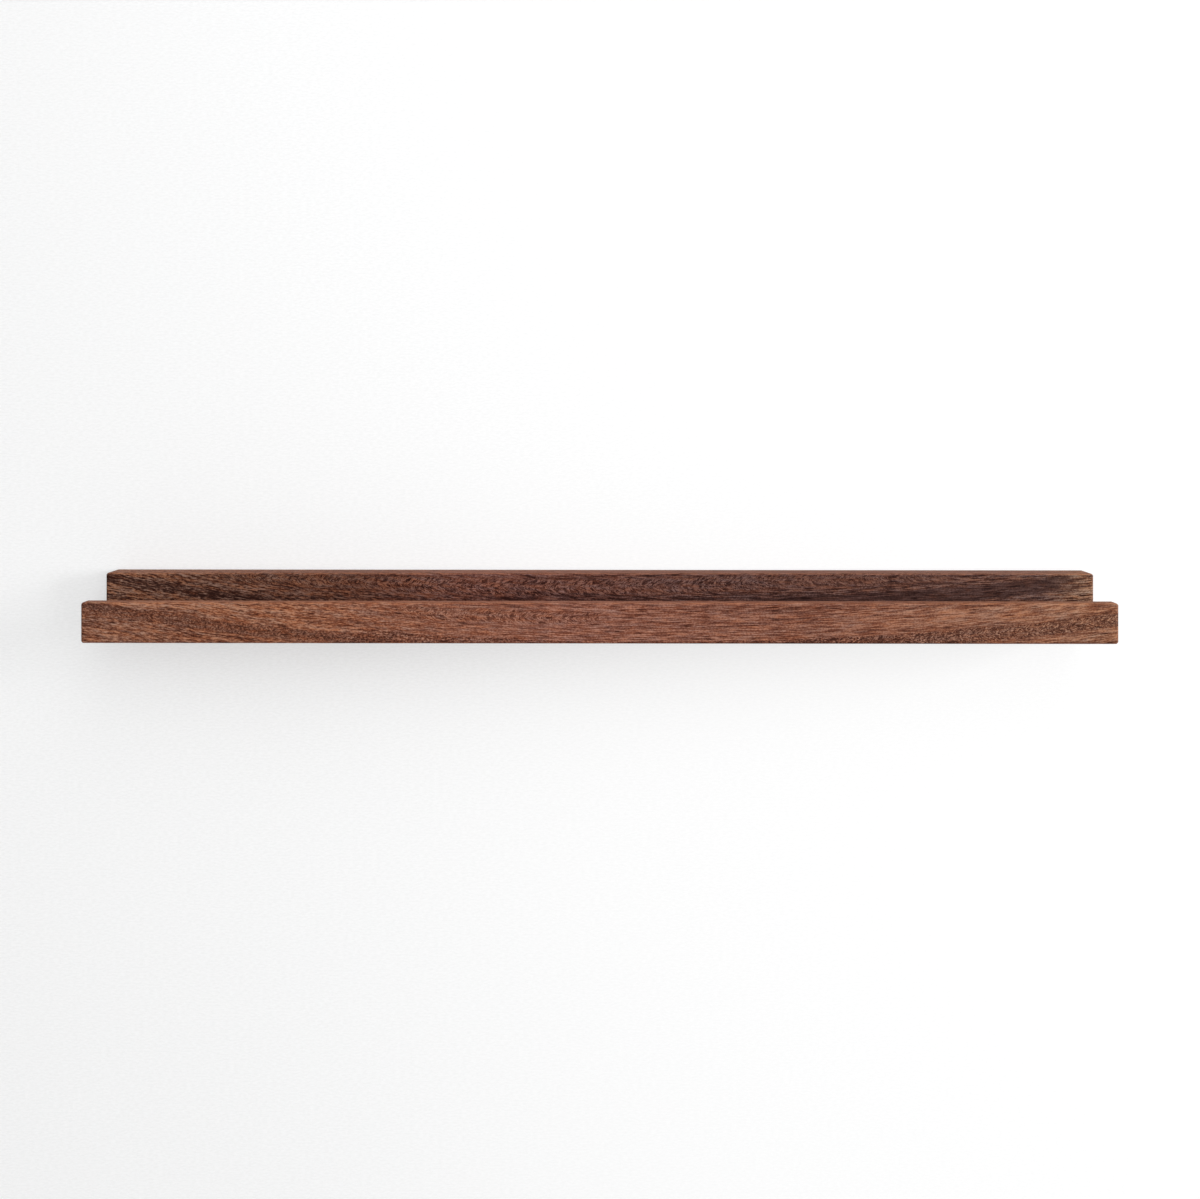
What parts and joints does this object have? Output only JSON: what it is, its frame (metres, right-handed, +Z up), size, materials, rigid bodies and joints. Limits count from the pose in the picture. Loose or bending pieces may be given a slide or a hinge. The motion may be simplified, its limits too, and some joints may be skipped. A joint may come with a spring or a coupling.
{
  "type": "floating wall shelf",
  "caption": "Picture-ledge floating wall shelf: a low hardwood front lip, a shelf board and a taller back rail, doweled and glued, hung on hidden keyhole plates.",
  "frame": {"origin": "on the wall plane at the back of the rail, midway along the shelf, level with the seats of the two wall screws", "axes": "+X along the shelf to the right as seen from the front, +Y towards the wall, +Z up; the front faces -Y"},
  "size_m": [0.61, 0.058, 0.0365],
  "materials": {
    "oiled_hardwood": "oiled satin, reddish brown with interlocked grain",
    "dowel_beech": "bare fluted beech",
    "zinc_plated_steel": "bright zinc plate"
  },
  "bodies": {
    "root": {"back_rail": "oiled_hardwood", "shelf_board": "oiled_hardwood", "front_lip": "oiled_hardwood", "rail_dowel_1": "dowel_beech", "rail_dowel_2": "dowel_beech", "rail_dowel_3": "dowel_beech", "rail_dowel_4": "dowel_beech", "rail_dowel_5": "dowel_beech", "lip_dowel_1": "dowel_beech", "lip_dowel_2": "dowel_beech", "lip_dowel_3": "dowel_beech", "lip_dowel_4": "dowel_beech", "lip_dowel_5": "dowel_beech", "lip_dowel_6": "dowel_beech", "left_keyhole_plate": "zinc_plated_steel", "right_keyhole_plate": "zinc_plated_steel", "plate_screws": "zinc_plated_steel"}
  },
  "joints": []
}
